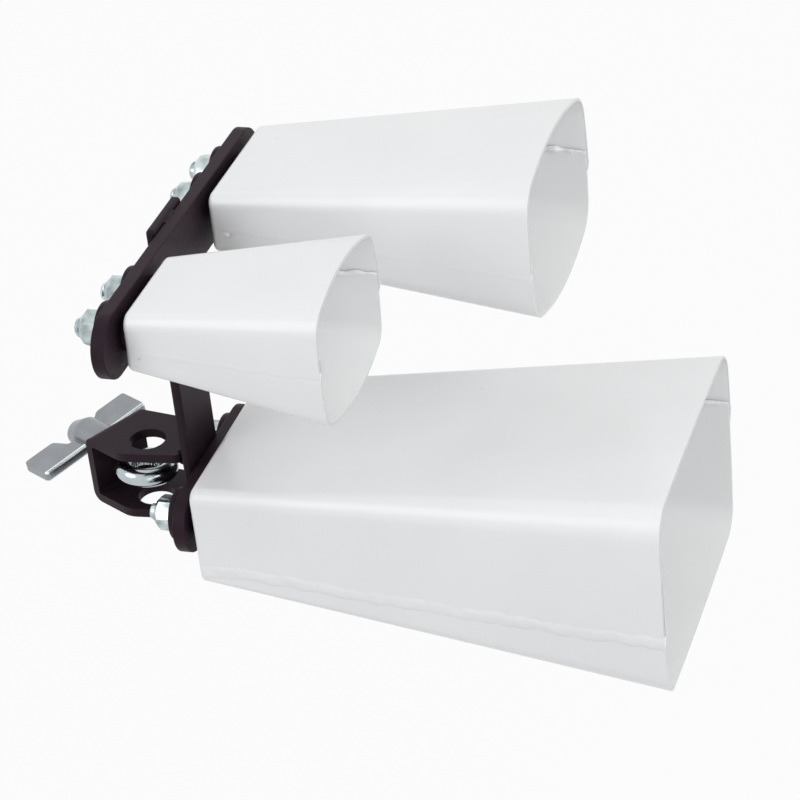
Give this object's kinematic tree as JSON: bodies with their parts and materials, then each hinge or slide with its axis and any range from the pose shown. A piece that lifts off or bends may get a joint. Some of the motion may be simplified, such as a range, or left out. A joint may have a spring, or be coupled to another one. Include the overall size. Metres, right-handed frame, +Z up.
{
  "type": "triple cowbell",
  "caption": "Flared sheet-steel cowbells in graded sizes, bolted to a flat-bar frame with a U-shaped rod clamp, eyebolt and wing nut.",
  "frame": {"origin": "on the axis of the clamped rod, at the clamp bracket's mid-height", "axes": "+X along the bells towards their mouths, +Y from the small bell to the medium bell, +Z up along the rod"},
  "size_m": [0.2895, 0.1851, 0.1912],
  "materials": {
    "white_enamel": "gloss",
    "black_enamel": "satin",
    "zinc_plate": "bright",
    "cast_zinc": "satin"
  },
  "bodies": {
    "bells_and_frame": {"crossbar": "black_enamel", "upright_strap": "black_enamel", "lower_plate": "black_enamel", "clamp_bracket": "black_enamel", "large_bell_upper_sheet": "white_enamel", "large_bell_lower_sheet": "white_enamel", "medium_bell_upper_sheet": "white_enamel", "medium_bell_lower_sheet": "white_enamel", "small_bell_upper_sheet": "white_enamel", "small_bell_lower_sheet": "white_enamel", "large_bell_near_bolt": "zinc_plate", "large_bell_near_lock_nut": "zinc_plate", "large_bell_near_black_washer": "black_enamel", "large_bell_near_spacer_washer": "black_enamel", "large_bell_near_plain_washer": "zinc_plate", "large_bell_far_bolt": "zinc_plate", "large_bell_far_lock_nut": "zinc_plate", "large_bell_far_black_washer": "black_enamel", "large_bell_far_spacer_washer": "black_enamel", "large_bell_far_plain_washer": "zinc_plate", "medium_bell_near_bolt": "zinc_plate", "medium_bell_near_lock_nut": "zinc_plate", "medium_bell_near_black_washer": "black_enamel", "medium_bell_near_spacer_washer": "black_enamel", "medium_bell_near_plain_washer": "zinc_plate", "medium_bell_far_bolt": "zinc_plate", "medium_bell_far_lock_nut": "zinc_plate", "medium_bell_far_black_washer": "black_enamel", "medium_bell_far_spacer_washer": "black_enamel", "medium_bell_far_plain_washer": "zinc_plate", "small_bell_near_bolt": "zinc_plate", "small_bell_near_lock_nut": "zinc_plate", "small_bell_near_black_washer": "black_enamel", "small_bell_near_spacer_washer": "black_enamel", "small_bell_near_plain_washer": "zinc_plate", "small_bell_far_bolt": "zinc_plate", "small_bell_far_lock_nut": "zinc_plate", "small_bell_far_black_washer": "black_enamel", "small_bell_far_spacer_washer": "black_enamel", "small_bell_far_plain_washer": "zinc_plate"},
    "wing_nut": {"wing_nut": "cast_zinc"},
    "eyebolt": {"eyebolt": "zinc_plate"}
  },
  "joints": [
    {"name": "wing_nut_turn", "type": "hinge", "parent": "bells_and_frame", "child": "wing_nut", "pos_m": [0, 0, 0], "axis": [0.8829, -0.4695, 0], "range_deg": [-1150, 545]},
    {"name": "eyebolt_slide", "type": "slide", "parent": "bells_and_frame", "child": "eyebolt", "axis": [-0.8829, 0.4695, 0], "range_m": [-0.004, 0.0019]}
  ],
  "couplings": [
    {"joint": "eyebolt_slide", "follows": "wing_nut_turn", "m_per_rad": 0.00019894}
  ]
}
